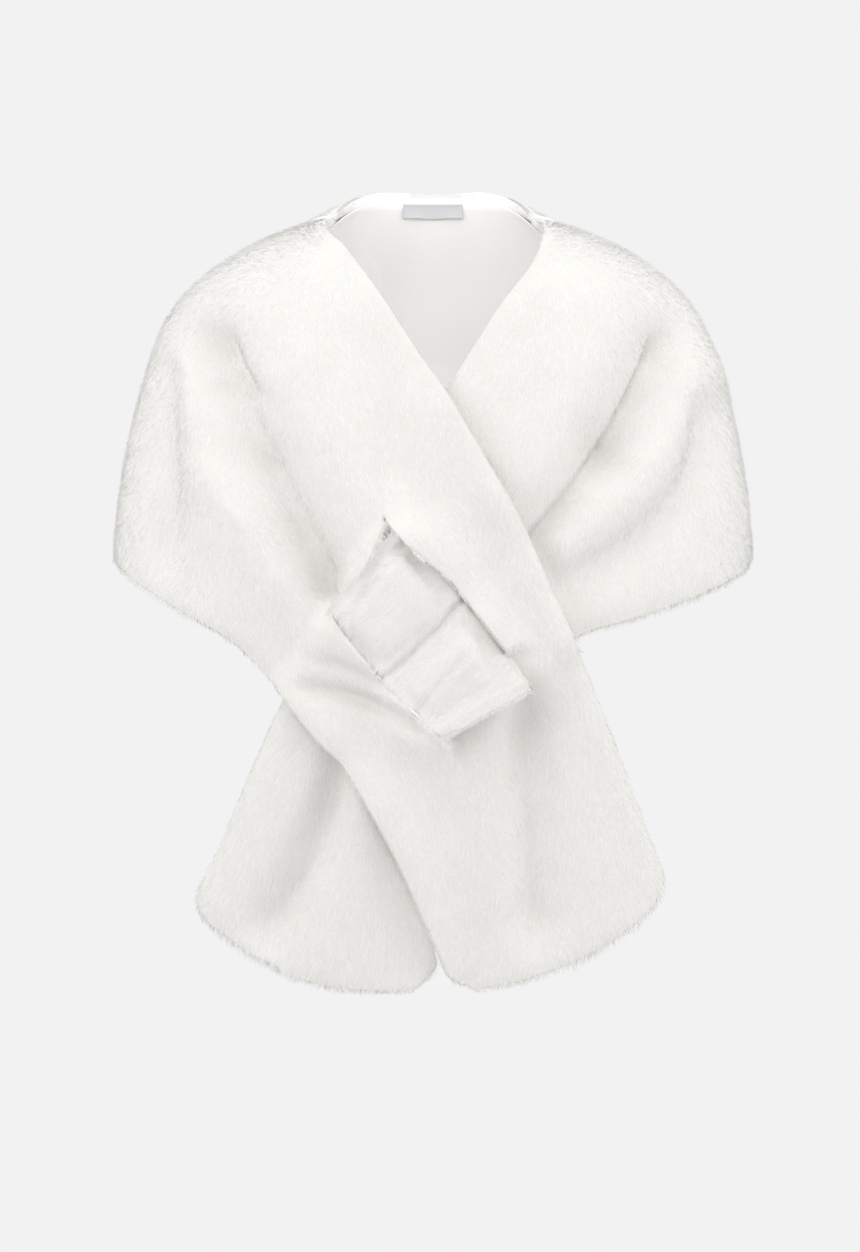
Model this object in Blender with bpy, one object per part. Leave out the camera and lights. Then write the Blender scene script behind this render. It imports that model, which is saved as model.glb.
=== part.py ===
"""A faux-fur pull-through wrap, worn crossed over the chest with nobody in it.

Metres, +Z up. The wearer would face -Y, and +X is the wearer's left. The origin is the middle of the
base of the neck, where the shoulders carry the wrap.

Every piece is a wall of cloth laid over one plain figure. A place on the figure is a turn, in degrees
round from the front centre line, and a level, in mm above the origin. A height is the distance out from
the figure. The long strip goes round the back and over both shoulders. Its right end has two slits, and
its left end goes in through one, over the strap between them, and out through the other.
"""

import bmesh
import bpy
import numpy as np

MM = 0.001

# ---- driving dimensions, in mm ----

PILE_WALL = 16.0        # backing and pile of the fur together
PRESSED_WALL = 10.0     # the same where another layer lies on it
STRAP_WALL = 9.0        # the strap between the slits, pressed under the knot
THROUGH_SWELL = 11.0    # the gathered cloth puffs up over the strap between the two bands
EDGE_ROUND = 10.0       # the pile rounds off each free edge over this width
EDGE_SHARE = 0.16       # share of the wall's thickness left at the very edge
LINING_WALL = 1.2
LABEL_WALL = 0.8
LABEL_GAP = 0.6         # the label's cells are finer than the lining's, so it needs this much
SEAM_GAP = 0.3          # between pieces that are sewn together
LAYER_GAP = 1.3         # between layers that lie on each other, before the cells cut the corners
FUR_BASE = LINING_WALL + SEAM_GAP
DEEPEST_FOLD = 40.0
DEEPEST_DENT = 6.0      # in a wall that rests on another layer
RESTING_RISE = 6.0      # what lies below carries a wall fully once it is this high
FLOOR_RISE = 4.0        # and keeps its folds out of the figure once it is this high

NECK_LEVEL = 18.0
SIDE_HEM_LEVEL = -290.0
SIDE_SEAM_GAP = 1.0     # the two sides' cells differ there, so their edges need a little more room

LINING_INSET_CELLS = 1          # the lining stops this many cells short of both edges
LABEL_HALF_TURNS = (13.5, 11.5)     # at its top and bottom edges
LABEL_LEVELS = (13.0, 6.5)

# The figure: half its width, its depth in front of and behind its middle line, how far that line
# lies back, and how far the ring rises from its sides to the nape.
FIGURE = (
    # level, half_width, front, back, lean, rise
    (18, 88, 52, 70, 34, 43),
    (8, 112, 64, 80, 28, 31),
    (-1, 138, 76, 90, 21, 22),
    (-20, 174, 88, 103, 12, 10),
    (-50, 214, 100, 115, 4, 3),
    (-105, 247, 111, 124, 0, 0),
    (-160, 262, 120, 128, 0, 0),
    (-225, 273, 126, 128, 0, 0),
    (-285, 279, 128, 124, 0, 0),
    (-400, 292, 124, 118, 0, 0),
    (-700, 300, 104, 110, 0, 0),
)
FIGURE_SQUARENESS = 2.3         # 2 is an ellipse
RISE_TURNS = (88.0, 158.0)      # the nape's rise starts and ends here

# Sections across the strip, from the neck edge to the hem edge. The bow carries a section's middle down.
RIGHT_SECTIONS = (
    # neck_turn, neck_level, hem_turn, hem_level, bow
    (-103.0, 18, -103.0, -290, 0),
    (-66.0, 12, -94.0, -288, 0),
    (-34.0, -5, -86.0, -291, 0),
    (-21.0, -22, -76.0, -301, 0),
    (-9.7, -56, -60.0, -320, 0),
    (-3.0, -99, -45.3, -343, 0),
    (1.5, -144, -36.5, -359, 0),
    (7.4, -205, -29.3, -383, 0),
    (13.8, -266, -23.1, -413, 0),
    (19.0, -327, -17.2, -448, 0),
    (22.6, -369, -12.1, -476, 0),
    (27.3, -426, -7.0, -525, 0),
    (32.2, -484, -3.2, -573, 0),
    (36.9, -536, -0.3, -623, 0),
    (40.7, -581, 1.5, -660, 2),
    (34.7, -612, 5.2, -673, 10),
)
LEFT_SECTIONS = (
    # neck_turn, neck_level, hem_turn, hem_level, bow
    (103.0, 18, 103.0, -290, 0),
    (72.0, 12, 95.0, -288, 0),
    (46.8, 2, 86.0, -291, 0),
    (31.4, -15, 76.0, -301, 0),
    (15.1, -55, 59.9, -316, 0),
    (7.6, -93, 44.5, -333, 0),
    (1.8, -141, 33.0, -346, 0),
    (-0.5, -186, 22.6, -360, 0),
    (-2.8, -257, 12.3, -397, 0),
    (-8.0, -302, 4.8, -421, 0),
    (-13.6, -346, -0.5, -450, 0),
    (-22.7, -408, -0.8, -495, 0),
    (-27.4, -455, -0.5, -540, 0),
    (-32.1, -505, -0.2, -584, 0),
    (-37.1, -554, 0.0, -624, 0),
    (-42.2, -599, 0.1, -657, 4),
    (-32.1, -634, -2.0, -673, 14),
)
BACK_SECTIONS = (
    # neck_turn, neck_level, hem_turn, hem_level, bow
    (103.0, 18, 103.0, -290, 0),
    (140.0, 18, 140.0, -298, 0),
    (180.0, 18, 180.0, -304, 0),
    (220.0, 18, 220.0, -298, 0),
    (257.0, 18, 257.0, -290, 0),
)

# The slits, by section number and as shares of the way from the neck edge to the hem edge.
SLIT_ROWS = {"neck_side": (6.8, 10.15), "hem_side": (7.4, 10.35)}
SLIT_SHARE_ROWS = (7.0, 10.0)
NECK_SLIT_SHARES = (0.345, 0.270)
HEM_SLIT_SHARES = (0.675, 0.655)
SLIT_OPEN_SHARES = (0.006, 0.066)   # at a slit's ends and at its middle
SLIT_TAPER = (0.35, 0.76)           # a slit closes between these shares of its half-length
SLIT_END_ROWS = 0.35                # over this many sections the two edges of a slit come together

# The left end's three stretches meet under the two bands of the right end.
UNDER_NECK_BAND_ROW = 7.5
UNDER_HEM_BAND_ROW = 10.5
STRETCH_GAP_ROWS = 0.003

# Folds: an arc through three places, seen from the front or back, with its half-width and its
# depth in mm. A depth below zero is a trough.
RIGHT_FOLDS = (
    # x0, z0, x1, z1, x2, z2, half_width, depth
    (-202, -87, -160, -190, -78, -336, 21, -22),
    (-187, -87, -175, -120, -158, -150, 14, -6),
    (-243, -120, -250, -200, -239, -292, 26, -8),
    (-74, -96, -36, -185, -24, -262, 20, -5),
    (-118, -407, -60, -416, -7, -447, 11, -5),
    (73, -398, 86, -469, 95, -611, 20, -13),
    (-130, -110, -100, -200, -60, -280, 45, 7),
    (-228, -130, -192, -228, -112, -345, 20, 9),
    (60, -240, 100, -330, 140, -430, 26, 4),
)
LEFT_FOLDS = (
    # x0, z0, x1, z1, x2, z2, half_width, depth
    (205, -96, 183, -145, 153, -193, 22, -23),
    (153, -193, 120, -236, 88, -273, 21, -13),
    (233, -128, 196, -212, 118, -278, 21, 10),
    (242, -160, 219, -238, 113, -309, 25, -7),
    (150, -50, 140, -140, 86, -220, 42, 7),
)
THROUGH_FOLDS = (
    # x0, z0, x1, z1, x2, z2, half_width, depth
    (-29, -269, -51, -305, -72, -340, 12, 3),
    (-3, -283, -29, -327, -58, -367, 19, 5),
    (24, -327, -7, -362, -41, -393, 9, -11),
    (46, -354, 11, -389, -22, -420, 15, 5),
)
TAIL_FOLDS = (
    # x0, z0, x1, z1, x2, z2, half_width, depth
    (-82, -478, -118, -566, -145, -611, 17, -19),
    (-60, -505, -82, -590, -91, -640, 28, 6),
    (-145, -478, -171, -550, -185, -595, 25, 4),
)
BACK_FOLDS = (
    # x0, z0, x1, z1, x2, z2, half_width, depth
    (-150, -60, -170, -180, -176, -290, 26, -7),
    (-58, -30, -74, -150, -80, -300, 34, 6),
    (36, -60, 52, -180, 60, -300, 28, -6),
    (140, -40, 160, -170, 168, -292, 32, 7),
    (228, -120, 236, -200, 238, -285, 22, -5),
)
FOLD_ARC_POINTS = 13
FOLD_SIDE_BLEND = 40.0      # front folds fade out over this much depth behind the origin's plane


# ---- curves and the figure ----

def smooth_table(at, rows, values):
    """The values at these row positions, on a smooth curve through the table's rows."""
    slopes = np.gradient(values, rows, axis=0)
    i = np.clip(np.searchsorted(rows, at) - 1, 0, len(rows) - 2)
    step = (rows[i + 1] - rows[i])[..., None]
    u = np.clip((at[..., None] - rows[i][..., None]) / step, 0.0, 1.0)
    return (
        (1 + 2 * u) * (1 - u) ** 2 * values[i]
        + u * (1 - u) ** 2 * step * slopes[i]
        + u * u * (3 - 2 * u) * values[i + 1]
        + u * u * (u - 1) * step * slopes[i + 1]
    )


def ease(start, end, at):
    """0 before start, 1 after end, and smooth between them."""
    u = np.clip((at - start) / (end - start), 0.0, 1.0)
    return u * u * (3 - 2 * u)


def figure_point(turn, level):
    table = np.array(FIGURE, float)
    ring = smooth_table(-level, -table[:, 0], table[:, 1:])
    half_width, front, back, lean, rise = np.moveaxis(ring, -1, 0)
    power = 2 / FIGURE_SQUARENESS
    across = np.sin(np.radians(turn))
    ahead = np.cos(np.radians(turn))
    depth = np.where(ahead > 0, front, back)
    turn_from_front = np.abs((turn + 180) % 360 - 180)
    return np.stack(
        (
            half_width * np.sign(across) * np.abs(across) ** power,
            lean - depth * np.sign(ahead) * np.abs(ahead) ** power,
            level + rise * ease(*RISE_TURNS, turn_from_front),
        ),
        axis=-1,
    )


def on_figure(turn, level, height):
    """The point at this height over the figure, in mm."""
    round_it = figure_point(turn + 0.5, level) - figure_point(turn - 0.5, level)
    down_it = figure_point(turn, level - 1) - figure_point(turn, level + 1)
    outward = np.cross(down_it, round_it)
    outward /= np.linalg.norm(outward, axis=-1, keepdims=True)
    return figure_point(turn, level) + outward * height[..., None]


# ---- a piece of cloth: a grid of places, then two skins of heights over it ----

class Cloth:
    """Rows run along the strip and columns across it, from the neck edge to the hem edge."""

    def __init__(self, sections, rows, shares):
        table = np.array(sections, float)
        at = smooth_table(np.asarray(rows), np.arange(float(len(table))), table)
        neck_turn, neck_level, hem_turn, hem_level, bow = (column[:, None] for column in at.T)
        self.rows = np.asarray(rows)
        self.shares = shares
        self.turn = neck_turn + (hem_turn - neck_turn) * shares
        self.level = neck_level + (hem_level - neck_level) * shares - bow * 4 * shares * (1 - shares)
        self.middle = on_figure(self.turn, self.level, np.full(self.turn.shape, PILE_WALL / 2))
        self.missing = np.zeros((len(rows) - 1, shares.shape[1] - 1), bool)

    def along(self):
        """The distance of each point from the first row, down its own column."""
        steps = np.linalg.norm(np.diff(self.middle, axis=0), axis=-1)
        return np.vstack((np.zeros((1, steps.shape[1])), np.cumsum(steps, axis=0)))

    def across(self):
        """The distance of each point from the neck edge, along its own row."""
        steps = np.linalg.norm(np.diff(self.middle, axis=1), axis=-1)
        return np.hstack((np.zeros((steps.shape[0], 1)), np.cumsum(steps, axis=1)))


EDGE_COLUMN = 0.25      # an extra column splits the first and last cells here, for the rounding


def columns(counts, borders, bunching):
    """Shares across the strip: each stretch between two borders, with its cells closer at both ends."""
    shares = [borders[0][:, None]]
    for count, start, end in zip(counts, borders, borders[1:]):
        even = np.linspace(0, 1, count + 1)[1:]
        bunched = (1 - np.cos(np.pi * even)) / 2
        shares.append(start[:, None] + (end - start)[:, None] * (even + bunching * (bunched - even)))
    shares = np.hstack(shares)
    first = shares[:, :1] + (shares[:, 1:2] - shares[:, :1]) * EDGE_COLUMN
    last = shares[:, -1:] + (shares[:, -2:-1] - shares[:, -1:]) * EDGE_COLUMN
    return np.hstack((shares[:, :1], first, shares[:, 1:-1], last, shares[:, -1:]))


def rows_over(*spans):
    """Section numbers, from (first, last, cells) spans that follow each other."""
    return np.unique(np.concatenate([np.linspace(a, b, cells + 1) for a, b, cells in spans]))


def rounding(distance):
    """The share of the wall's thickness this far from a free edge."""
    inside = 1 - np.clip(distance / EDGE_ROUND, 0, 1)
    return np.maximum(np.sqrt(1 - inside**2), EDGE_SHARE)


def folds_on(points, folds, behind=False):
    """How far the folds carry the cloth out, at points in mm."""
    relief = np.zeros(points.shape[:-1])
    side = ease(0, FOLD_SIDE_BLEND if behind else -FOLD_SIDE_BLEND, points[..., 1])
    for x0, z0, x1, z1, x2, z2, half_width, depth in folds:
        u = np.linspace(0, 1, FOLD_ARC_POINTS)[:, None]
        start, middle, end = np.array(((x0, z0), (x1, z1), (x2, z2)), float)
        pull = 2 * middle - (start + end) / 2
        arc = (1 - u) ** 2 * start + 2 * u * (1 - u) * pull + u**2 * end
        gap = points[..., None, (0, 2)] - arc
        nearest = np.sqrt((gap**2).sum(-1)).min(-1)
        relief += depth * np.exp(-((nearest / half_width) ** 2))
    return relief * side


class Layers:
    """The height of what is already laid on the figure, on squares of about 5 mm."""

    TURN_STEP = 1.0
    LEVEL_STEP = 5.0
    TOP_LEVEL = 40.0
    COUNTS = (360, 152)
    READINGS = 8        # along each side of a cloth's cell
    REACH = 2           # squares

    def __init__(self):
        self.height = np.zeros(self.COUNTS)

    def cell(self, turn, level):
        i = np.round(turn / self.TURN_STEP).astype(int) % self.COUNTS[0]
        j = np.round((self.TOP_LEVEL - level) / self.LEVEL_STEP).astype(int)
        return i, np.clip(j, 0, self.COUNTS[1] - 1)

    def lay(self, cloth, height, keep=None):
        """Adds a cloth's outer skin, read closely enough that no square is missed."""
        fine = []
        for values in (cloth.turn, cloth.level, height):
            for axis in (0, 1):
                cells = values.shape[axis] - 1
                at = np.linspace(0, cells, cells * self.READINGS + 1)
                low = np.minimum(at.astype(int), cells - 1)
                part = (at - low)[(slice(None),) + (None,) * (1 - axis)]
                values = (
                    np.take(values, low, axis) * (1 - part) + np.take(values, low + 1, axis) * part
                )
            fine.append(values)
        turn, level, height = fine
        if keep is not None:
            kept = np.kron(keep, np.ones((self.READINGS, self.READINGS), bool))
            turn, level, height = (v[:-1, :-1][kept] for v in (turn, level, height))
        np.maximum.at(self.height, self.cell(turn, level), height)

    def near(self, pick):
        """Each square's highest or mean value within the reach."""
        span = range(-self.REACH, self.REACH + 1)
        shifted = [
            np.roll(self.height, (i, j), (0, 1))
            for i in span
            for j in span
            if i * i + j * j <= self.REACH**2 + 1
        ]
        result = Layers()
        result.height = pick(np.array(shifted), axis=0)
        return result

    def read(self, cloth):
        """The heights under a cloth's points, read between the squares."""
        i = (cloth.turn / self.TURN_STEP) % self.COUNTS[0]
        j = np.clip((self.TOP_LEVEL - cloth.level) / self.LEVEL_STEP, 0, self.COUNTS[1] - 1.001)
        low_i, low_j = np.floor(i).astype(int), np.floor(j).astype(int)
        part_i, part_j = i - low_i, j - low_j
        next_i = (low_i + 1) % self.COUNTS[0]
        low_i = low_i % self.COUNTS[0]
        return (
            self.height[low_i, low_j] * (1 - part_i) * (1 - part_j)
            + self.height[next_i, low_j] * part_i * (1 - part_j)
            + self.height[low_i, low_j + 1] * (1 - part_i) * part_j
            + self.height[next_i, low_j + 1] * part_i * part_j
        )

    def over(self, cloth):
        """A height that clears all that is laid, and rises and falls softly."""
        return self.near(np.max).near(np.mean).read(cloth)


# ---- meshes, materials and objects ----

def plain_material(name, colour, roughness):
    material = bpy.data.materials.new(name)
    material.use_nodes = True
    shader = material.node_tree.nodes["Principled BSDF"]
    shader.inputs["Base Color"].default_value = (*colour, 1)
    shader.inputs["Roughness"].default_value = roughness
    shader.inputs["Metallic"].default_value = 0.0
    material.diffuse_color = (*colour, 1)
    return material


def wall(name, cloth, inner, outer, material, collection):
    """A closed wall between two skins of heights over the same grid."""
    skins = [on_figure(cloth.turn, cloth.level, height) * MM for height in (outer, inner)]
    count = cloth.turn.size
    number = np.arange(count).reshape(cloth.turn.shape)
    shown = ~cloth.missing
    faces = []
    borders = {}
    for i, j in zip(*np.nonzero(shown)):
        corners = (number[i, j], number[i + 1, j], number[i + 1, j + 1], number[i, j + 1])
        # Both skins are split along the same diagonal, so that layers over one grid stay apart.
        for triangle in (corners[:3], (corners[2], corners[3], corners[0])):
            faces.append(triangle)
            faces.append(tuple(corner + count for corner in reversed(triangle)))
        for a, b in zip(corners, corners[1:] + corners[:1]):
            if (b, a) in borders:
                del borders[b, a]
            else:
                borders[a, b] = True
    for a, b in borders:
        faces.append((b, a, a + count, b + count))
    mesh = bpy.data.meshes.new(name)
    mesh.from_pydata(np.vstack([skin.reshape(-1, 3) for skin in skins]).tolist(), [], faces)
    shell = bmesh.new()
    shell.from_mesh(mesh)
    bmesh.ops.delete(shell, geom=[point for point in shell.verts if not point.link_faces])
    bmesh.ops.recalc_face_normals(shell, faces=shell.faces)
    shell.to_mesh(mesh)
    shell.free()
    mesh.shade_smooth()
    mesh.materials.append(material)
    made = bpy.data.objects.new(name, mesh)
    collection.objects.link(made)
    return made


# ---- the pieces ----

# Columns of the right end: the neck band, the slit, the strap, the slit and the hem band.
RIGHT_CELLS = (8, 1, 4, 1, 8)
LEFT_CELLS = (21,)
BAND_BUNCHING = 0.55    # how far the cells crowd towards a stretch's ends
PLAIN_BUNCHING = 0.15
BACK_CELLS = (15,)
BACK_ROWS = 31
TAIL_ROWS = (0.0, 0.35, 0.7, 0.88, 0.97, 1.0)    # through the last section, to round a tail off
LABEL_CELLS = (12, 3)
STRAP_HALF = 0.5            # a point is on the strap from this share up
COVERED = (0.5, 1.0)        # from where a band begins to press what is under it, to where it does fully
BESIDE = (0.05, 0.5)        # from where the puff begins to fall, beside a band, to the band's edge
SAME_ROW = 1e-6


def slit_opening(rows, side):
    """A slit is pulled open like a lens. Past its ends, the two columns beside it stay close."""
    start, end = SLIT_ROWS[side]
    from_middle = np.clip(np.abs(rows - (start + end) / 2) / ((end - start) / 2), 0, 1)
    closed, open_share = SLIT_OPEN_SHARES
    return closed + (open_share - closed) * (1 - ease(*SLIT_TAPER, from_middle))


def parted(rows, start, end):
    """0 up to a slit's ends and 1 where its two edges lie at their own heights."""
    return ease(start, start + SLIT_END_ROWS, rows) * ease(end, end - SLIT_END_ROWS, rows)


def right_cloth():
    last = len(RIGHT_SECTIONS) - 1.0
    slits = sorted({place for ends in SLIT_ROWS.values() for place in ends})
    rows = rows_over(
        (0, 6, 13),
        (6, slits[0], 2),
        (slits[0], slits[1], 3),
        (slits[1], slits[2], 14),
        (slits[2], 11, 2),
        (11, last - 1, 9),
    )
    rows = np.union1d(rows, last - 1 + np.array(TAIL_ROWS))
    neck_slit = np.interp(rows, SLIT_SHARE_ROWS, NECK_SLIT_SHARES)
    hem_slit = np.interp(rows, SLIT_SHARE_ROWS, HEM_SLIT_SHARES)
    borders = (
        np.zeros(len(rows)),
        neck_slit,
        neck_slit + slit_opening(rows, "neck_side"),
        hem_slit - slit_opening(rows, "hem_side"),
        hem_slit,
        np.ones(len(rows)),
    )
    cloth = Cloth(RIGHT_SECTIONS, rows, columns(RIGHT_CELLS, borders, BAND_BUNCHING))
    edge = np.cumsum((1,) + RIGHT_CELLS)
    cloth.neck_band, cloth.strap, cloth.hem_band = (
        slice(0, edge[1] + 1),
        slice(edge[2], edge[3] + 1),
        slice(edge[4], None),
    )
    for side, column in (("neck_side", edge[1]), ("hem_side", edge[3])):
        start, end = SLIT_ROWS[side]
        inside = (rows[:-1] >= start - SAME_ROW) & (rows[1:] <= end + SAME_ROW)
        cloth.missing[inside, column] = True
    return cloth


def end_rounding(cloth, open_end):
    """Rounds the neck and hem edges and, on a tail, its end."""
    across = cloth.across()
    distance = np.minimum(across, across[:, -1:] - across)
    if open_end:
        along = cloth.along()
        distance = np.minimum(distance, along[-1] - along)
    return distance


def right_distance(cloth):
    """The distance to the nearest free edge of the right end, its slits too."""
    distance = end_rounding(cloth, open_end=True)
    across = cloth.across()
    for side, edges in (
        ("neck_side", ((cloth.neck_band, -1, -1), (cloth.strap, 0, 1))),
        ("hem_side", ((cloth.strap, -1, -1), (cloth.hem_band, 0, 1))),
    ):
        apart = parted(cloth.rows, *SLIT_ROWS[side])[:, None]
        for band, at_column, direction in edges:
            local = across[:, band]
            from_slit = (local - local[:, [at_column]]) * direction
            from_slit = from_slit + EDGE_ROUND * (1 - apart)
            distance[:, band] = np.minimum(distance[:, band], from_slit)
    return distance


def lie_on(below, relief):
    """The inner height of a wall over what is below it, and how much of it rests there."""
    resting = ease(0, RESTING_RISE, below)
    # A fold may sink inside the figure only where nothing lies below it.
    floor = below + LAYER_GAP * resting - DEEPEST_FOLD * (1 - ease(0, FLOOR_RISE, below))
    return np.maximum(FUR_BASE + relief * (1 - resting), floor), resting


def skins(inner, thickness, share):
    """Both skins of a wall that narrows about its own middle at its edges."""
    middle = inner + thickness / 2
    half = thickness * share / 2
    return middle - half, middle + half


def strap_share(cloth):
    """1 on the strap between the slits, where the knot presses on it, and 0 elsewhere."""
    share = np.zeros(cloth.turn.shape)
    across = np.linspace(0, 1, share[0, cloth.strap].size)
    neck_side, hem_side = (np.array(SLIT_ROWS[side]) for side in ("neck_side", "hem_side"))
    for column, part in zip(range(cloth.turn.shape[1])[cloth.strap], across):
        share[:, column] = parted(cloth.rows, *(neck_side * (1 - part) + hem_side * part))
    return share


def lay_ends(material, collection):
    """Lays the crossed ends: the strap, the left end over it, and the two bands over that."""
    right = right_cloth()
    right_share = rounding(right_distance(right))
    strap = strap_share(right)
    right_wall = PILE_WALL + (STRAP_WALL - PILE_WALL) * strap
    on_strap = (strap > STRAP_HALF)[:-1, :-1] & (strap > STRAP_HALF)[1:, 1:]

    cover = Layers()
    cover.lay(right, np.ones(right.turn.shape), keep=~on_strap & ~right.missing)
    pressing = cover.near(np.mean)
    under = Layers()
    inner, outer = skins(np.full(right.turn.shape, FUR_BASE), right_wall, right_share)
    under.lay(right, outer, keep=on_strap)

    laid = Layers()
    last = len(LEFT_SECTIONS) - 1.0
    front_end, through_start = (UNDER_NECK_BAND_ROW + side * STRETCH_GAP_ROWS for side in (-1, 1))
    through_end, tail_start = (UNDER_HEM_BAND_ROW + side * STRETCH_GAP_ROWS for side in (-1, 1))
    tail_rows = np.union1d(rows_over((tail_start, last - 1, 12)), last - 1 + np.array(TAIL_ROWS))
    # The last two values say whether the folds carry the whole wall or only its outer skin, and how far
    # that skin puffs up where no band presses it.
    stretches = (
        ("left_front", rows_over((0, 2, 5), (2, front_end, 23)), LEFT_FOLDS, 1.0, 0.0),
        ("left_through", rows_over((through_start, through_end, 15)), THROUGH_FOLDS, 0.0, THROUGH_SWELL),
        ("left_tail", tail_rows, TAIL_FOLDS, 1.0, 0.0),
    )
    for name, rows, folds, follow, swell in stretches:
        borders = (np.zeros(len(rows)), np.ones(len(rows)))
        cloth = Cloth(LEFT_SECTIONS, rows, columns(LEFT_CELLS, borders, PLAIN_BUNCHING))
        share = rounding(end_rounding(cloth, open_end=name == "left_tail"))
        covered = pressing.read(cloth)
        pressed = ease(*COVERED, covered)
        relief = folds_on(cloth.middle, folds) * (1 - pressed)
        puff = swell * (1 - ease(*BESIDE, covered))
        inner, _ = lie_on(under.over(cloth), relief * follow)
        thickness = PILE_WALL + (PRESSED_WALL - PILE_WALL) * pressed + relief * (1 - follow)
        inner, outer = skins(inner, thickness, share)
        wall(name, cloth, inner, outer + puff * share, material, collection)
        laid.lay(cloth, outer)

    relief = folds_on(right.middle, RIGHT_FOLDS)
    below = laid.over(right) * (1 - ease(0, STRAP_HALF, strap))
    inner, resting = lie_on(below, relief * (1 - strap))
    thickness = right_wall + np.maximum(relief * resting, -DEEPEST_DENT) * (1 - strap)
    inner, outer = skins(inner, thickness, right_share)
    wall("right_front", right, inner, outer, material, collection)


def lay_back(material, lining_material, label_material, collection):
    """The stretch round the back, the lining inside it and the label at the nape."""
    sections = np.array(BACK_SECTIONS, float)
    level, half_width = np.array(FIGURE, float)[:, :2].T
    half_widths = np.interp((-NECK_LEVEL, -SIDE_HEM_LEVEL), -level, half_width)
    for end, side in ((0, 1), (-1, -1)):
        sections[end, (0, 2)] += side * np.degrees(SIDE_SEAM_GAP / half_widths)
    rows = np.linspace(0, len(sections) - 1, BACK_ROWS)
    borders = (np.zeros(BACK_ROWS), np.ones(BACK_ROWS))
    cloth = Cloth(sections, rows, columns(BACK_CELLS, borders, PLAIN_BUNCHING))
    relief = folds_on(cloth.middle, BACK_FOLDS, behind=True)
    share = rounding(end_rounding(cloth, open_end=False))
    inner, outer = skins(FUR_BASE + relief, PILE_WALL, share)
    wall("back_panel", cloth, inner, outer, material, collection)

    # The lining takes the panel's own points, and stops short of its rounded edges.
    cloth.missing[:, :LINING_INSET_CELLS] = True
    cloth.missing[:, -LINING_INSET_CELLS:] = True
    wall("back_lining", cloth, relief, relief + LINING_WALL, lining_material, collection)

    top, bottom = LABEL_HALF_TURNS
    edges = [
        (180 + side * top, LABEL_LEVELS[0], 180 + side * bottom, LABEL_LEVELS[1], 0)
        for side in (-1, 0, 1)
    ]
    along, across = LABEL_CELLS
    rows = np.linspace(0, len(edges) - 1, along + 1)
    cloth = Cloth(edges, rows, np.tile(np.linspace(0, 1, across + 1), (along + 1, 1)))
    relief = folds_on(cloth.middle, BACK_FOLDS, behind=True)
    face = relief - LABEL_GAP
    wall("neck_label", cloth, face - LABEL_WALL, face, label_material, collection)


def build():
    for old in list(bpy.data.objects):
        bpy.data.objects.remove(old)
    collection = bpy.data.collections.new("fur_wrap")
    bpy.context.scene.collection.children.link(collection)
    fur = plain_material("faux_fur", (0.86, 0.85, 0.81), 0.95)
    lining = plain_material("satin_lining", (0.90, 0.89, 0.86), 0.45)
    label = plain_material("woven_label", (0.62, 0.63, 0.64), 0.5)
    lay_back(fur, lining, label, collection)
    lay_ends(fur, collection)


build()
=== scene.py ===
"""A white faux-fur pull-through wrap, worn over the shoulders with nobody in it.

Each fur wall of the frame is replaced by a cut piece: satin inside, a dense undercoat outside, and
combed pile standing on it out to the wall's surface. Lengths are in metres. The wearer faces -Y, and
+X is the wearer's left.
"""

import math

import bmesh
import bpy
import numpy as np
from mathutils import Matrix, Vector
from mathutils.bvhtree import BVHTree
from mathutils.kdtree import KDTree


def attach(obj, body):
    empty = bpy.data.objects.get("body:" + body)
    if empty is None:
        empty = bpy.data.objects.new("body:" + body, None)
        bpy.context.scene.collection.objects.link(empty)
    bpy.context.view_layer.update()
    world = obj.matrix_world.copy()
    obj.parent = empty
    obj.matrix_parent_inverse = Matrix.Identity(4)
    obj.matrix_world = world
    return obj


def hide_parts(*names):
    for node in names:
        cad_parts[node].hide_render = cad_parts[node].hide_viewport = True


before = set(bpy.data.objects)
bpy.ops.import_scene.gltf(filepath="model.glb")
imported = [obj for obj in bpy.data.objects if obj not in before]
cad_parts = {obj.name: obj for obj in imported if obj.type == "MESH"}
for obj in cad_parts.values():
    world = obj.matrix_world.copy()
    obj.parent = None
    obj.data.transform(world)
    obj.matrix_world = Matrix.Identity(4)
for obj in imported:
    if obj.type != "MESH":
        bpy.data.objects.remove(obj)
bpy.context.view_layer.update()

MM = 0.001

# ---- driving sizes ----

PILE_SHARE = 0.24           # of a fur wall's thickness is loose pile, and the rest is undercoat and backing
EDGE_PILE = 5.0 * MM        # the cloth stops this far inside each free edge
FRINGE_SHARE = 1.1          # and the pile there is this much longer
SLIT_SWELL, SLIT_LAP = 7.0 * MM, 2.0 * MM   # the undercoat swells into a slit, past half of it but no further
SLIT_REACH = 18.0 * MM      # a wall this near beside a rim makes the gap between them a slit
SLIT_END = 60.0 * MM        # the end of a slit looks this far along it for its own wall
SLIT_HAIR = 5.0 * MM        # the pile that closes over the gap
RIM_DEPTH = 34.0 * MM       # a wall is this deep behind its rim, and thinner behind the side of a fold
RIM_STEEP, RIM_RISE = 0.75, 0.2     # how far across the cloth a rim faces, and where it counts in full
RIM_PROBED = 0.5            # and from where it is looked at
RIM_EVENING = 8
OUTER_FACING = 0.3          # a corner on the outer side faces outwards more than this
SATIN_FACING, SATIN_EDGE = -0.15, 0.3       # the satin starts where the cloth turns inwards, off its rim
TAILS_TOP = -420 * MM       # below here the cloth hangs flat and faces forwards
SEAM_REACH = 3.5 * MM       # an edge this near to a sewn neighbour keeps its place
SEAM_LAP = 1.5 * MM         # the pile is picked out of a seam, which leaves no gap over the stitches
ROOT_SINK = 1.5 * MM
HAIR_WIDTH = 0.50 * MM      # a lock of a few hairs: one hair is too fine to show
CLUMP_PULL = 0.9 * MM
HAIR_SHADE = 0.60           # how far a hair's own flat side shows in its shading, against the cloth's
FRINGE_GLOW = 1.5           # light shows through a fringe, which leaves it as bright as the face
HAIR_LEAN, EDGE_LEAN = 64, 38       # degrees from upright: the pile lies down, and fans out at an edge
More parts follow.
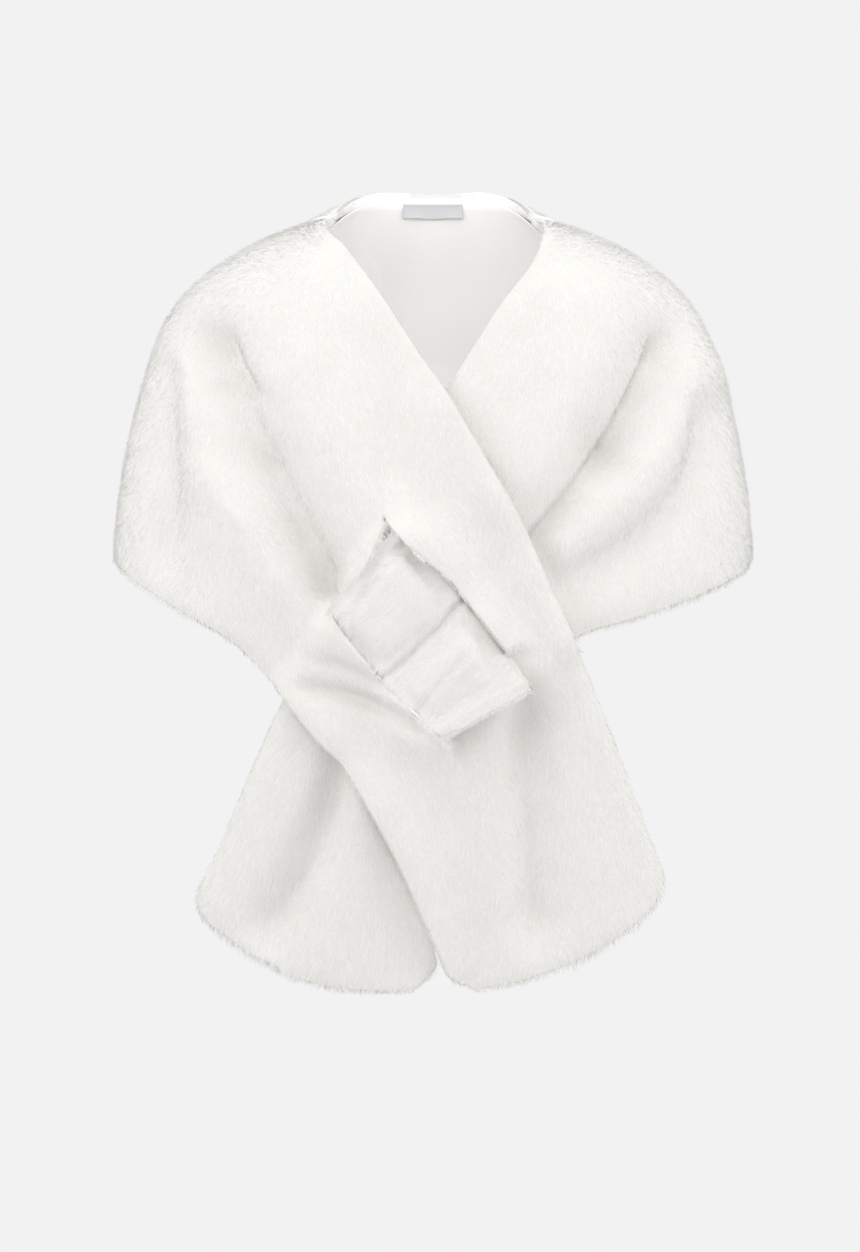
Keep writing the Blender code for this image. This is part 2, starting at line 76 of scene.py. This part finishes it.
TUFT = 9                    # hairs to a tuft
COMB_SOFTNESS = 30.0        # mm over which one comb direction gives way to the next
COVER_REACH = 60.0 * MM     # pile under another layer this near isn't seen, so it isn't made
TURNED_UNDER = -0.45        # nor is pile on cloth that faces inwards more than this
COVER_START = 3.0 * MM      # over its tips
PROBE = 10.0 * MM           # outside a wall, to look back at how thick it is
SQUARE_CORNER = math.radians(62)
THINNEST, THICKEST = 7.0 * MM, 18.0 * MM    # the fur walls
STITCH_PITCH, STITCH_INSET = 2.6 * MM, 2.5 * MM
LABEL_LIFT, LABEL_WAVE, LABEL_WAVES = 1.6 * MM, 0.7 * MM, 3      # at its lower edge

NAPE_CENTRE = Vector((0.0, 10 * MM, -120 * MM))     # the walls face away from here and from the line below it

# The cut of each piece, width by length, and its flat area where the cut isn't a rectangle.
CUTS = {
    "back_panel": ((0.40, 0.62), 0.189),
    "right_front": ((0.40, 0.83), 0.216),
    "left_front": ((0.40, 0.38), 0.117),
    "left_through": ((0.19, 0.19), 0.025),
    "left_tail": ((0.23, 0.31), 0.043),
}
SEWN_TO = {
    "back_panel": ("right_front", "left_front"),
    "right_front": ("back_panel",),
    "left_front": ("back_panel", "left_through"),
    "left_through": ("left_front", "left_tail"),
    "left_tail": ("left_through",),
}

# How the pile is combed: at each place (x, z), in mm, it runs this way (dx, dz) down the cloth.
COMBED = {
    "back_panel": ((0, 0, 0, -1), (-200, -150, 0.05, -1), (200, -150, -0.05, -1)),
    "right_front": (
        (-220, -60, -0.25, -1), (-240, -250, 0.10, -1), (-60, -40, 0.10, -1), (-120, -330, 0.55, -1),
        (-40, -250, 0.30, -1), (40, -260, 0.35, -1), (-60, -430, 0.60, -1), (80, -450, 0.20, -1),
        (150, -600, 0.20, -1), (40, -640, 0.05, -1),
    ),
    "left_front": (
        (100, -20, 0.0, -1), (230, -150, 0.15, -1), (150, -180, -0.25, -1), (60, -150, -0.25, -1),
        (60, -280, -0.55, -1), (240, -280, 0.0, -1),
    ),
    "left_through": ((-20, -300, -0.9, -1), (0, -380, -0.7, -1)),
    "left_tail": ((-60, -450, -0.5, -1), (-210, -600, -0.3, -1), (-80, -640, -0.05, -1)),
}
HAIRS = {
    "back_panel": 54000, "right_front": 99000, "left_front": 55000, "left_through": 24000,
    "left_tail": 27000,
}
MOST_HAIRS = 65000          # in one piece

# The squeezed stretch, and the bands that hold it: it springs up to a level, less and less towards its seams.
PUFFED = {"left_through": "right_front"}
PUFF_LEVEL, MOST_PUFF, PUFF_TAPER = -161 * MM, 20 * MM, 14 * MM
PUFF_SWELL = 9 * MM         # its rims run on in under the bands
PUFF_FACING = 0.15
SMOOTHINGS = {"right_front": 2, "left_front": 2, "left_through": 2}

# Creases pressed into the pile: an arc through three places (x, z), its half-width and its depth, in mm.
CREASES = {
    "back_panel": (
        (-60, 20, -92, -150, -128, -330, 20, 5), (72, 10, 104, -150, 142, -330, 20, 5),
        (4, -90, 8, -200, 2, -330, 22, 4), (-165, -70, -203, -190, -228, -320, 17, 4),
        (168, -70, 208, -190, 232, -320, 17, 4),
    ),
    "right_front": (
        (-206, -75, -162, -185, -74, -344, 13, 13), (-184, -140, -128, -268, -72, -344, 7, 13),
        (-190, -80, -175, -120, -154, -158, 7, 7), (-244, -100, -243, -200, -239, -306, 14, 8),
        (70, -380, 86, -469, 98, -660, 13, 9), (68, -370, 80, -420, 90, -520, 17, 12),
        (-130, -402, -60, -416, 4, -452, 7, 8), (-122, -376, -60, -395, -10, -430, 6, 4),
    ),
    "left_front": (
        (209, -80, 184, -142, 144, -208, 6, 14), (163, -180, 120, -238, 80, -282, 6, 10),
        (242, -130, 222, -237, 104, -316, 14, 8),
    ),
    "left_through": (
        (34, -317, -7, -362, -52, -404, 3, 6), (-74, -334, -42, -296, -12, -266, 4, 3),
        (40, -364, 8, -400, -26, -440, 4, 2),
    ),
    "left_tail": ((-82, -478, -116, -560, -136, -590, 5, 4),),
}
CREASE_POINTS = 65          # enough places along an arc that its edge isn't scalloped
CREASE_FADE = 0.14          # of its length, at each end


# ---- materials ----

def linear(hex_colour):
    """An sRGB hex colour as linear RGBA."""
    channels = [int(hex_colour[i:i + 2], 16) / 255 for i in (0, 2, 4)]
    return [c / 12.92 if c <= 0.04045 else ((c + 0.055) / 1.055) ** 2.4 for c in channels] + [1.0]


def add(material, kind, inputs=None, **settings):
    """One shader node, with its settings, and its inputs as values or as links from other nodes."""
    made = material.node_tree.nodes.new(kind)
    for name, value in settings.items():
        setattr(made, name, value)
    for name, value in (inputs or {}).items():
        if isinstance(value, bpy.types.NodeSocket):
            material.node_tree.links.new(value, made.inputs[name])
        else:
            made.inputs[name].default_value = value
    return made


def new_material(name):
    material = bpy.data.materials.new(name)
    material.use_nodes = True
    return material, material.node_tree.nodes["Principled BSDF"]


def link(material, source, target):
    material.node_tree.links.new(source, target)


def pile_material(name, colour, roughness):
    """Modacrylic pile: fine matt fibres, bright because light passes from one to the next."""
    material, shader = new_material(name)
    shader.inputs["Base Color"].default_value = linear(colour)
    shader.inputs["Roughness"].default_value = roughness
    shader.inputs["Specular IOR Level"].default_value = 0.25
    shader.inputs["Sheen Weight"].default_value = 0.25
    shader.inputs["Sheen Roughness"].default_value = 0.5
    return material


def undercoat_material():
    """The dense short fibres at the roots, a little warmer than the tips, in soft patches; darker than the
    tips too, which is painted shade: the pile throws no shadow here, so the shade on its roots is painted in.
    """
    material, shader = new_material("modacrylic undercoat, painted shade")
    place = add(material, "ShaderNodeTexCoord").outputs["Object"]
    patches = add(material, "ShaderNodeTexNoise", {"Vector": place, "Scale": 28.0, "Detail": 4.0})
    fibres = add(material, "ShaderNodeTexNoise", {"Vector": place, "Scale": 900.0, "Detail": 2.0})
    mixed = add(
        material, "ShaderNodeMath", {0: patches.outputs["Fac"], 1: fibres.outputs["Fac"]},
        operation="MULTIPLY",
    )
    ramp = add(material, "ShaderNodeValToRGB", {"Fac": mixed.outputs[0]})
    # painted shade: both greys sit below the pile's colours and stand in for the pile's shadow on its roots;
    # the patches between them differ at random
    ramp.color_ramp.elements[0].position = 0.10
    ramp.color_ramp.elements[0].color = linear("D8D7D3")
    ramp.color_ramp.elements[1].position = 0.40
    ramp.color_ramp.elements[1].color = linear("DFDEDA")
    bump = add(
        material, "ShaderNodeBump", {"Height": fibres.outputs["Fac"], "Strength": 0.5, "Distance": 0.4 * MM}
    )
    link(material, ramp.outputs["Color"], shader.inputs["Base Color"])
    link(material, bump.outputs["Normal"], shader.inputs["Normal"])
    shader.inputs["Roughness"].default_value = 0.95
    shader.inputs["Specular IOR Level"].default_value = 0.2
    return material


def satin_material():
    """Polyester satin: long floats across the weave give it a soft sheen, with small slack ripples."""
    material, shader = new_material("polyester satin")
    place = add(material, "ShaderNodeTexCoord").outputs["Object"]
    threads = add(
        material, "ShaderNodeTexWave", {"Vector": place, "Scale": 260.0, "Distortion": 1.5, "Detail": 2.0},
        bands_direction="Z",
    )
    stretch = add(material, "ShaderNodeMapping", {"Vector": place, "Scale": (1.0, 1.0, 0.25)})
    slack = add(
        material, "ShaderNodeTexNoise", {"Vector": stretch.outputs["Vector"], "Scale": 16.0, "Detail": 1.5}
    )
    tone = add(material, "ShaderNodeValToRGB", {"Fac": slack.outputs["Fac"]})
    tone.color_ramp.elements[0].position = 0.35
    tone.color_ramp.elements[0].color = linear("F6F5F3")
    tone.color_ramp.elements[1].position = 0.65
    tone.color_ramp.elements[1].color = linear("FAF9F7")
    weave = add(
        material, "ShaderNodeBump", {"Height": threads.outputs["Fac"], "Strength": 0.25, "Distance": 0.1 * MM}
    )
    ripples = add(
        material, "ShaderNodeBump",
        {
            "Height": slack.outputs["Fac"], "Strength": 0.5, "Distance": 2 * MM,
            "Normal": weave.outputs["Normal"],
        },
    )
    link(material, tone.outputs["Color"], shader.inputs["Base Color"])
    link(material, ripples.outputs["Normal"], shader.inputs["Normal"])
    shader.inputs["Roughness"].default_value = 0.42
    shader.inputs["Sheen Weight"].default_value = 0.2
    return material


# ---- cloth from the frame's walls ----

def keep_corners(mesh):
    """Creases the square ends of a wall, where it is sewn to the next, so that smoothing leaves them full."""
    shell = bmesh.new()
    shell.from_mesh(mesh)
    crease = shell.edges.layers.float.new("crease_edge")
    for edge in shell.edges:
        if edge.calc_face_angle(0.0) > SQUARE_CORNER:
            edge[crease] = 1.0
    shell.to_mesh(mesh)
    shell.free()


def bare_copy(node, name, levels):
    """A node's wall as one merged mesh of quads, smoothed by subdivision."""
    bpy.ops.object.select_all(action="DESELECT")
    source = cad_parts[node]
    piece = bpy.data.objects.new(name, source.data.copy())
    bpy.context.collection.objects.link(piece)
    piece.select_set(True)
    bpy.context.view_layer.objects.active = piece
    bpy.ops.object.mode_set(mode="EDIT")
    bpy.ops.mesh.select_all(action="SELECT")
    bpy.ops.mesh.remove_doubles(threshold=0.01 * MM)
    bpy.ops.mesh.tris_convert_to_quads(face_threshold=math.radians(60), shape_threshold=math.radians(60))
    bpy.ops.object.mode_set(mode="OBJECT")
    piece.data.materials.clear()
    keep_corners(piece.data)
    if levels:
        smooth = piece.modifiers.new("smooth", "SUBSURF")
        smooth.levels = smooth.render_levels = levels
        bpy.ops.object.modifier_apply(modifier=smooth.name)
    bpy.ops.object.shade_smooth_by_angle(angle=SQUARE_CORNER)
    return piece


def points_of(mesh):
    points = np.empty(len(mesh.vertices) * 3)
    mesh.vertices.foreach_get("co", points)
    return points.reshape(-1, 3)


def normals_of(mesh):
    normals = np.empty(len(mesh.vertices) * 3)
    mesh.vertices.foreach_get("normal", normals)
    return normals.reshape(-1, 3)


def unit(vectors):
    return vectors / np.maximum(np.linalg.norm(vectors, axis=-1, keepdims=True), 1e-9)


def outward_at(points):
    """The way that a wall faces the world: away from the chest, and level below it."""
    centre = np.array(NAPE_CENTRE)
    centre = np.column_stack((
        np.full(len(points), centre[0]), np.full(len(points), centre[1]), np.minimum(points[:, 2], centre[2])
    ))
    return unit(points - centre)


def tree_of(*nodes):
    """One search tree over these nodes' walls."""
    points, faces, start = [], [], 0
    for node in nodes:
        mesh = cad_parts[node].data
        points += [vertex.co.copy() for vertex in mesh.vertices]
        faces += [[start + i for i in polygon.vertices] for polygon in mesh.polygons]
        start += len(mesh.vertices)
    return BVHTree.FromPolygons(points, faces)


def thickness_at(points, outward, tree):
    """How thick the wall is under each point, from a little way outside it."""
    thick = np.full(len(points), THICKEST)
    for i, (point, way) in enumerate(zip(points, outward)):
        way = Vector(way)
        outside = tree.ray_cast(Vector(point) + way * PROBE, -way, 3 * PROBE)[0]
        if outside is not None:
            thick[i] = tree.ray_cast(outside - way * 0.01 * MM, -way, 3 * PROBE)[3] or THICKEST
    return np.clip(thick, THINNEST, THICKEST)


def crease_depth(node, points):
    """How deep the creases are at each point, seen from the front."""
    depth = np.zeros(len(points))
    u = np.linspace(0, 1, CREASE_POINTS)[:, None]
    for x0, z0, x1, z1, x2, z2, half_width, deepest in CREASES[node]:
        start, middle, end = np.array(((x0, z0), (x1, z1), (x2, z2)), float)
        arc = (1 - u) ** 2 * start + 2 * u * (1 - u) * (2 * middle - (start + end) / 2) + u**2 * end
        gap = points[:, None, (0, 2)] / MM - arc
        apart = np.sqrt((gap**2).sum(2))
        nearest, along = apart.min(1), u[apart.argmin(1), 0]
        fade = np.clip(np.minimum(along, 1 - along) / CREASE_FADE, 0, 1)
        depth = np.maximum(depth, deepest * fade * np.exp(-((nearest / half_width) ** 2)))
    return depth * MM


def evened(values, mesh, times=3):
    """Values at a mesh's points, each drawn towards the mean of its neighbours."""
    ends = np.empty(len(mesh.edges) * 2, int)
    mesh.edges.foreach_get("vertices", ends)
    a, b = ends.reshape(-1, 2).T
    meeting = np.bincount(a, minlength=len(values)) + np.bincount(b, minlength=len(values))
    for _ in range(times):
        total = np.bincount(a, values[b], len(values)) + np.bincount(b, values[a], len(values))
        values = (values + total / meeting) / 2
    return values


def puff_height(node, points, outward, seams):
    """How far a squeezed layer springs up between the bands that hold it, and under their rims."""
    bands = tree_of(PUFFED[node])
    rise = np.zeros(len(points))
    for i, (point, way) in enumerate(zip(points, outward)):
        point, way = Vector(point), Vector(way)
        room = bands.ray_cast(point + way * MM, way, COVER_REACH)[3]
        room = MOST_PUFF if room is None else max(room - MM, 0.0)
        from_seam = seams.find_nearest(point, PUFF_TAPER)[3]
        share = 1.0 if from_seam is None else from_seam / PUFF_TAPER
        rise[i] = np.clip(point.y - PUFF_LEVEL, 0, min(room, MOST_PUFF)) * share
    return rise


def cut_piece(node):
    """The cloth of one fur wall: its backing and undercoat, inside the wall by the depth of the pile."""
    piece = bare_copy(node, f"cut_{node}", SMOOTHINGS.get(node, 1))
    mesh = piece.data
    points, normals = points_of(mesh), normals_of(mesh)
    outward = outward_at(points)
    facing = (normals * outward).sum(1)
    sideways = normals - outward * facing[:, None]
    seams = tree_of(*SEWN_TO[node])
    sewn = np.array([seams.find_nearest(Vector(point), SEAM_REACH)[0] is not None for point in points])
    lap = sideways * (SEAM_LAP * sewn)[:, None]
    level = sewn & (facing > OUTER_FACING)      # the cloth runs on over a seam
    normals[level], facing[level] = outward[level], 1.0
    sideways = normals - outward * facing[:, None]
    walls, own = tree_of(*CUTS), tree_of(node)
    steep = np.linalg.norm(sideways, axis=1)
    edge = np.clip((steep - RIM_STEEP) / RIM_RISE, 0, 1)
    drawn = np.full(len(points), EDGE_PILE)
    fringe = np.full(len(points), EDGE_PILE * FRINGE_SHARE)
    open_edge = np.ones(len(points))
    for i in np.nonzero(steep > RIM_PROBED)[0]:
        point, side = Vector(points[i]), Vector(sideways[i]).normalized()
        inward = -Vector(normals[i])
        across = own.ray_cast(point + inward * 0.3 * MM, inward, RIM_DEPTH)[0]
        gap = walls.ray_cast(point + side * MM, side, SLIT_REACH)[3]
        along_slit = own.ray_cast(point + side * MM, side, SLIT_END)[3]
        if across is not None or sewn[i]:
            drawn[i] = edge[i] = open_edge[i] = 0.0
        elif node in PUFFED:
            drawn[i], fringe[i] = -PUFF_SWELL, SLIT_HAIR
        elif gap is not None:
            drawn[i], fringe[i] = -min(gap / 2 + SLIT_LAP, SLIT_SWELL), SLIT_HAIR
        elif along_slit is not None:
            drawn[i], fringe[i] = -SLIT_SWELL, 2 * SLIT_HAIR
    along_rim = evened(drawn * edge, mesh, RIM_EVENING) / np.maximum(evened(edge, mesh, RIM_EVENING), 1e-3)
    edge, fringe = evened(edge, mesh, 1), evened(fringe, mesh)
    draw_in = unit(sideways) * (along_rim * edge * open_edge)[:, None]
    thick = thickness_at(points - draw_in, outward, own)
    pile = thick * PILE_SHARE
    lowered = np.clip(facing, 0, 1) * pile + crease_depth(node, points)
    if node in PUFFED:
        lowered -= (facing > PUFF_FACING) * puff_height(node, points, outward, seams)
    moved = points + lap - draw_in - outward * lowered[:, None]
    pile = pile * (1 - edge) + fringe * edge
    mesh.vertices.foreach_set("co", moved.ravel())
    mesh.update()
    mesh.materials.append(UNDERCOAT)
    mesh.materials.append(SATIN)
    for polygon in mesh.polygons:
        hangs = polygon.center.z < TAILS_TOP
        way = (0, -1, 0) if hangs else outward_at(np.array([polygon.center]))[0]
        inside = np.dot(polygon.normal, way) < SATIN_FACING
        polygon.material_index = int(inside and edge[list(polygon.vertices)].mean() < SATIN_EDGE)
    return piece, pile, edge, normals


# ---- pile ----

def combed(node, places):
    """The way the pile runs at each place, before it is laid on the cloth."""
    guides = np.array(COMBED[node])
    gap = places[:, None, (0, 2)] / MM - guides[None, :, :2]
    weight = 1 / ((gap**2).sum(2) + COMB_SOFTNESS**2)
    way = (weight[..., None] * guides[None, :, 2:]).sum(1)
    return unit(np.column_stack((way[:, 0], np.zeros(len(way)), way[:, 1])))


def drift(places, size, phase):
    """A soft wandering value between -1 and 1 that changes over about this many metres."""
    x, y, z = (places / size * 2).T
    return (
        np.sin(x * 1.3 + 2.1 * np.sin(z * 0.9 + phase) + phase)
        * np.cos(z * 1.1 + 1.7 * np.sin(y * 0.8 + x * 0.6) + 2 * phase)
        + 0.5 * np.sin(2.3 * x + 1.9 * z + 2.7 * y + 3 * phase)
    ) / 1.5


def turned(vectors, axes, angles):
    """Unit vectors turned about unit axes at right angles to them."""
    return vectors * np.cos(angles)[:, None] + np.cross(axes, vectors) * np.sin(angles)[:, None]


def sow(node, piece, pile, edge, upright, rng):
    """Roots spread evenly over the outer side and the edges of a cut piece, where no layer hides them."""
    mesh = piece.data
    mesh.calc_loop_triangles()
    corners = np.empty(len(mesh.loop_triangles) * 3, int)
    mesh.loop_triangles.foreach_get("vertices", corners)
    corners = corners.reshape(-1, 3)
    points = points_of(mesh)
    outward = outward_at(points)
    normals = np.where((upright * outward).sum(1)[:, None] > 0.999, outward, normals_of(mesh))
    others = [other for other in CUTS if other != node]
    above = tree_of(*others)
    seen = (normals * outward).sum(1) > TURNED_UNDER
    for i in np.nonzero(seen)[0]:
        start = Vector(points[i] + outward[i] * (pile[i] + COVER_START))
        hit = above.ray_cast(start, Vector(outward[i]), COVER_REACH)
        seen[i] = hit[0] is None
    a, b, c = (points[corners[:, i]] for i in range(3))
    of_polygon = np.empty(len(corners), int)
    mesh.loop_triangles.foreach_get("polygon_index", of_polygon)
    lined = np.array([polygon.material_index for polygon in mesh.polygons])[of_polygon]
    area = np.linalg.norm(np.cross(b - a, c - a), axis=1) * seen[corners].mean(1) * (1 - lined)
    face = rng.choice(len(corners), HAIRS[node], p=area / area.sum())
    u, v = rng.random((2, len(face)))
    over = u + v > 1
    u, v = np.where(over, 1 - u, u), np.where(over, 1 - v, v)
    weights = np.column_stack((1 - u - v, u, v))
    picked = corners[face]
    return (
        (points[picked] * weights[..., None]).sum(1),
        unit((normals[picked] * weights[..., None]).sum(1)),
        (pile[picked] * weights).sum(1),
        (edge[picked] * weights).sum(1),
    )


def gathered(tips, rng):
    """Tips drawn a little together into small tufts."""
    count = len(tips)
    centres = tips[rng.choice(count, count // TUFT, replace=False)]
    tree = KDTree(len(centres))
    for i, centre in enumerate(centres):
        tree.insert(centre, i)
    tree.balance()
    nearest = np.array([tree.find(tip)[0][:] for tip in tips])
    pull = nearest - tips
    far = np.linalg.norm(pull, axis=1, keepdims=True)
    return pull * np.minimum(0.4, CLUMP_PULL / np.maximum(far, 1e-6))


def grow(node, piece, pile, edge, upright, seed):
    """The combed pile of one cut piece, as three-sided spikes."""
    rng = np.random.default_rng(seed)
    root, normal, depth, edge = sow(node, piece, pile, edge, upright, rng)
    count = len(root)
    way = combed(node, root)
    way = unit(way - normal * (way * normal).sum(1)[:, None])
    swing = 0.30 * drift(root, 0.06, seed) + 0.22 * drift(root, 0.018, seed + 2) + rng.normal(0, 0.13, count)
    way = turned(way, normal, swing)
    lean = HAIR_LEAN + (EDGE_LEAN - HAIR_LEAN) * edge + 4 * drift(root, 0.03, seed + 5)
    length = depth / np.cos(np.radians(lean)) * (1 + rng.normal(0, 0.08, count)).clip(0.7, 1.3)
    lean = np.radians(lean) + rng.normal(0, 0.07, count)
    along = unit(normal * np.cos(lean)[:, None] + way * np.sin(lean)[:, None])
    start = root - normal * ROOT_SINK
    tip = start + along * (length + ROOT_SINK)[:, None]
    tip += gathered(tip, rng)
    across = unit(np.cross(along, normal))
    rise = np.cross(across, along)
    radius = (HAIR_WIDTH / 2) * (1 + rng.normal(0, 0.2, count)).clip(0.5, 1.6)
    phase = rng.random(count) * 2 * np.pi
    normal = unit(normal + outward_at(root) * FRINGE_GLOW * edge[:, None])
    corners, shaded = [], []
    for third in range(3):
        angle = phase + third * 2 * np.pi / 3
        radial = across * np.cos(angle)[:, None] + rise * np.sin(angle)[:, None]
        corners.append(start + radial * radius[:, None])
        shaded.append(unit(normal * (1 - HAIR_SHADE) + radial * HAIR_SHADE))
    points = np.stack((*corners, tip), axis=1)
    shaded = np.stack((*shaded, normal), axis=1)
    made = []
    for part, first in enumerate(range(0, count, MOST_HAIRS)):
        some = slice(first, first + MOST_HAIRS)
        made.append(hair_mesh(f"pile_{node}_{part + 1}", points[some], shaded[some], rng))
    return made


def hair_mesh(name, points, normals, rng):
    """One mesh of hairs, each with three corners at its root and a tip, shaded as the cloth under it."""
    count = len(points)
    base = np.arange(count)[:, None] * 4
    faces = (base + np.array((1, 0, 3, 2, 1, 3, 0, 2, 3))).ravel()
    mesh = bpy.data.meshes.new(name)
    mesh.vertices.add(count * 4)
    mesh.vertices.foreach_set("co", points.ravel())
    mesh.loops.add(count * 9)
    mesh.loops.foreach_set("vertex_index", faces)
    mesh.polygons.add(count * 3)
    mesh.polygons.foreach_set("loop_start", np.arange(count * 3) * 3)
    for material in PILES:
        mesh.materials.append(material)
    shade = rng.choice(len(PILES), count, p=PILE_SHARES)
    mesh.polygons.foreach_set("material_index", np.repeat(shade, 3))
    mesh.update()
    mesh.shade_smooth()
    mesh.normals_split_custom_set_from_vertices(normals.reshape(-1, 3))
    hair = bpy.data.objects.new(name, mesh)
    bpy.context.collection.objects.link(hair)
    hair.visible_shadow = hair.visible_diffuse = False      # light passes on through white fibres
    return hair


UNDERCOAT = undercoat_material()
SATIN = satin_material()
PILES = (
    pile_material("modacrylic pile, bright", "E9E8E6", 0.85),
    pile_material("modacrylic pile, ivory", "E3E2DF", 0.9),
    pile_material("modacrylic pile, shaded", "DAD9D5", 0.9),
)
PILE_SHARES = (0.5, 0.36, 0.14)

for seed, node in enumerate(CUTS, 1):
    cloth, pile, edge, upright = cut_piece(node)
    hairs = grow(node, cloth, pile, edge, upright, seed)
    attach(cloth, "root")
    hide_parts(node)
    for hair in hairs:
        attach(hair, "root")


# ---- lining and label ----

def lining_piece():
    piece = bare_copy("back_lining", "satin_back_lining", 2)
    piece.data.materials.append(SATIN)
    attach(piece, "root")
    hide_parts("back_lining")


def label_material():
    """Woven rayon ribbon: a fine warp rib and a slight silvery sheen."""
    material, shader = new_material("woven ribbon")
    place = add(material, "ShaderNodeTexCoord").outputs["Object"]
    rib = add(
        material, "ShaderNodeTexWave", {"Vector": place, "Scale": 420.0, "Distortion": 0.6},
        bands_direction="X",
    )
    tone = add(material, "ShaderNodeValToRGB", {"Fac": rib.outputs["Fac"]})
    tone.color_ramp.elements[0].color = linear("C8C8CA")
    tone.color_ramp.elements[1].color = linear("DEDEE0")
    bump = add(
        material, "ShaderNodeBump", {"Height": rib.outputs["Fac"], "Strength": 0.4, "Distance": 0.2 * MM}
    )
    link(material, tone.outputs["Color"], shader.inputs["Base Color"])
    link(material, bump.outputs["Normal"], shader.inputs["Normal"])
    shader.inputs["Roughness"].default_value = 0.4
    shader.inputs["Sheen Weight"].default_value = 0.3
    return material


def thread_material():
    """Spun polyester thread, matt and a little darker than the ribbon it holds."""
    material, shader = new_material("spun polyester thread")
    shader.inputs["Base Color"].default_value = linear("B4B4B6")
    shader.inputs["Roughness"].default_value = 0.8
    return material


def stitches_along(points, name):
    """A row of small straight stitches on the label's face, under its top fold."""
    low, high = points.min(0), points.max(0)
    shell = bmesh.new()
    for x in np.arange(low[0] + STITCH_INSET, high[0] - 2 * MM, STITCH_PITCH):
        near = points[np.abs(points[:, 0] - x) < 3 * MM]
        face = near[near[:, 2] > high[2] - 4 * MM][:, 1].min()
        made = bmesh.ops.create_uvsphere(shell, u_segments=6, v_segments=5, radius=0.5)["verts"]
        bmesh.ops.scale(shell, vec=(STITCH_PITCH * 0.7, 0.5 * MM, 0.5 * MM), verts=made)
        bmesh.ops.translate(shell, vec=(x, face - 0.1 * MM, high[2] - 2 * MM), verts=made)
    shell.verts.index_update()
    faces = sorted([vert.index for vert in face.verts] for face in shell.faces)  # they come in no fixed order
    mesh = bpy.data.meshes.new(name)
    mesh.from_pydata([vert.co[:] for vert in shell.verts], [], faces)
    shell.free()
    mesh.materials.append(thread_material())
    row = bpy.data.objects.new(name, mesh)
    bpy.context.collection.objects.link(row)
    return row


def label_piece():
    """The label is sewn along its top edge only, so its lower edge is slack and lifts off the lining."""
    piece = bare_copy("neck_label", "woven_neck_label", 2)
    points = points_of(piece.data)
    low, high = points.min(0), points.max(0)
    slack = ((high[2] - points[:, 2]) / (high[2] - low[2])) ** 2
    wave = np.sin((points[:, 0] - low[0]) / (high[0] - low[0]) * LABEL_WAVES * math.pi)
    points[:, 1] -= slack * (LABEL_LIFT + LABEL_WAVE * wave)
    points[:, 2] += slack * 0.5 * MM * wave
    piece.data.vertices.foreach_set("co", points.ravel())
    piece.data.update()
    piece.data.materials.append(label_material())
    stitches = stitches_along(points, "label_stitches")
    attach(piece, "root")
    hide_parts("neck_label")
    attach(stitches, "root")


lining_piece()
label_piece()


# ---- floor, light and camera ----

def build_stage():
    bpy.ops.object.select_all(action="DESELECT")
    bpy.ops.mesh.primitive_plane_add(size=5.0, location=(0, 0, -1.40))
    floor = bpy.context.active_object
    floor.name = "floor"
    bpy.ops.object.transform_apply(location=True)
    material, shader = new_material("matt white floor")
    shader.inputs["Base Color"].default_value = linear("D2D2D2")
    shader.inputs["Roughness"].default_value = 0.9
    floor.data.materials.append(material)


def soft_light(name, place, aim, size, power):
    data = bpy.data.lights.new(name, "AREA")
    data.shape = "DISK"
    data.size = size
    data.energy = power
    light = bpy.data.objects.new(name, data)
    bpy.context.collection.objects.link(light)
    light.location = place
    light.rotation_euler = (Vector(aim) - Vector(place)).to_track_quat("-Z", "Y").to_euler()


def build_light():
    world = bpy.data.worlds.new("pale studio")
    world.use_nodes = True
    ground = world.node_tree.nodes["Background"]
    ground.inputs["Color"].default_value = linear("F2F2F2")
    ground.inputs["Strength"].default_value = 1.0
    bpy.context.scene.world = world
    middle = (0, 0, -0.30)
    soft_light("key softbox", (-0.5, -2.8, 1.5), middle, 1.4, 13)
    soft_light("left softbox", (-2.6, -1.2, 0.2), middle, 1.8, 20)
    soft_light("right softbox", (2.6, -1.2, 0.2), middle, 1.8, 22)
    soft_light("back softbox", (0.7, 2.8, 0.9), middle, 1.8, 24)
    soft_light("overhead softbox", (0, -0.6, 2.4), middle, 1.8, 18)
    bpy.context.scene.view_settings.view_transform = "Standard"


def build_camera():
    """Level with the middle of the wrap, 3.5 m in front, with the long lens of a product picture."""
    distance, frame_height = 3.5, 1.1518
    camera = bpy.data.cameras.new("camera")
    camera.sensor_fit = "VERTICAL"
    camera.sensor_height = 24.0
    camera.lens = camera.sensor_height * distance / frame_height
    holder = bpy.data.objects.new("camera", camera)
    bpy.context.collection.objects.link(holder)
    holder.location = (-0.0028, -distance, -0.35)
    holder.rotation_euler = (math.pi / 2, 0, 0)
    bpy.context.scene.camera = holder


build_stage()
build_light()
build_camera()
